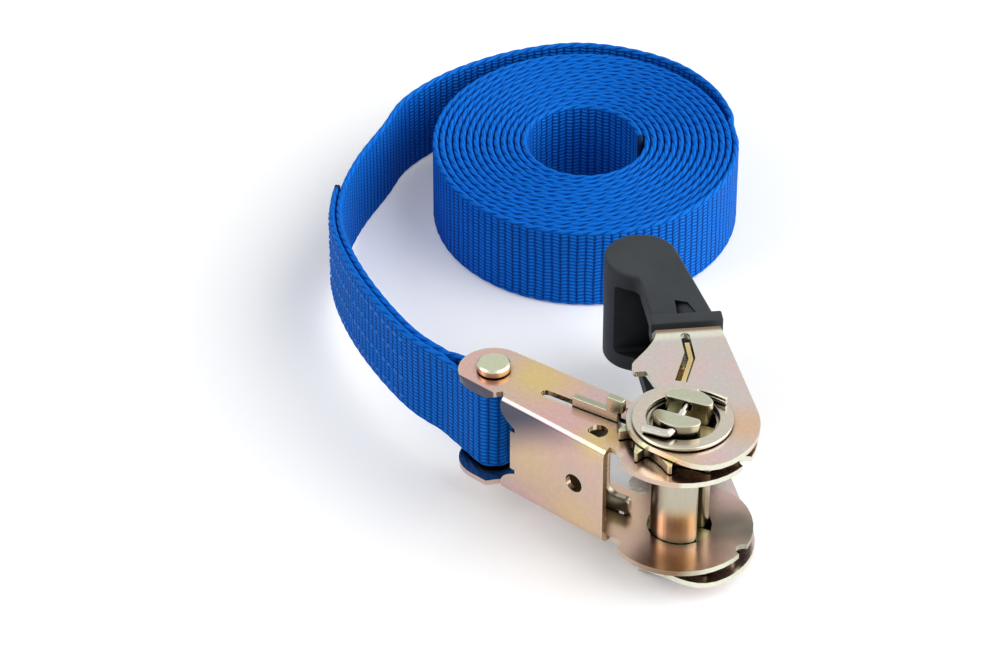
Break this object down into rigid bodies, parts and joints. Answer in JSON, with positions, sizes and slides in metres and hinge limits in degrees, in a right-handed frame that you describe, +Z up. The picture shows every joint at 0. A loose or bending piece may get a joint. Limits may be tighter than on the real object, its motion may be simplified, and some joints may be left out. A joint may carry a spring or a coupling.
{
  "type": "ratchet strap",
  "caption": "Hand ratchet of folded plated steel with a rubber-gripped handle, sprung pawls and a slotted spool, with a woven strap sewn round its bolt and rolled up beside it",
  "frame": {"origin": "centre of the ratchet's own box, without the strap, on the surface that it lies on", "axes": "+Z up along the spool, the ratchet's shortest way; +X from the bolt to the spool; the outer face of the frame's web looks along -Y"},
  "size_m": [0.1888, 0.1694, 0.048],
  "materials": {
    "plated_plate": "yellow zinc plate, satin",
    "plated_turned": "zinc plate, satin",
    "spring_wire": "bright wire",
    "grip_rubber": "matte charcoal rubber",
    "webbing": "woven royal blue webbing"
  },
  "bodies": {
    "frame": {"frame": "plated_plate", "tab_bolt": "plated_turned", "tab_sleeve": "plated_turned", "lock_spring": "spring_wire", "strap_loop": "webbing", "strap_lead": "webbing", "strap_roll": "webbing"},
    "lock_pawl": {"lock_pawl": "plated_plate"},
    "spool": {"spool_bar_rear": "plated_turned", "spool_bar_front": "plated_turned", "ratchet_wheel_upper": "plated_plate", "ratchet_wheel_lower": "plated_plate", "washer_upper": "plated_turned", "washer_lower": "plated_turned", "split_pin_upper": "plated_turned", "split_pin_lower": "plated_turned"},
    "handle": {"handle": "plated_plate", "handle_grip": "grip_rubber", "drive_spring": "spring_wire"},
    "drive_pawl": {"drive_pawl": "plated_plate"}
  },
  "joints": [
    {"name": "handle_hinge", "type": "hinge", "parent": "frame", "child": "handle", "pos_m": [0.02306, -0.02174, 0.024], "axis": [0, 0, -1], "range_deg": [-38, 100]},
    {"name": "spool_spin", "type": "hinge", "parent": "frame", "child": "spool", "pos_m": [0.02306, -0.02174, 0.024], "axis": [0, 0, 1], "continuous": true},
    {"name": "lock_slide", "type": "slide", "parent": "frame", "child": "lock_pawl", "axis": [-0.9882, -0.153, 0], "range_m": [0, 0.0018], "stiffness_N_per_m": 300, "deforming": ["lock_spring"]},
    {"name": "drive_slide", "type": "slide", "parent": "handle", "child": "drive_pawl", "axis": [-0.7314, 0.682, 0], "range_m": [0, 0.0028], "stiffness_N_per_m": 300, "deforming": ["drive_spring"]}
  ]
}
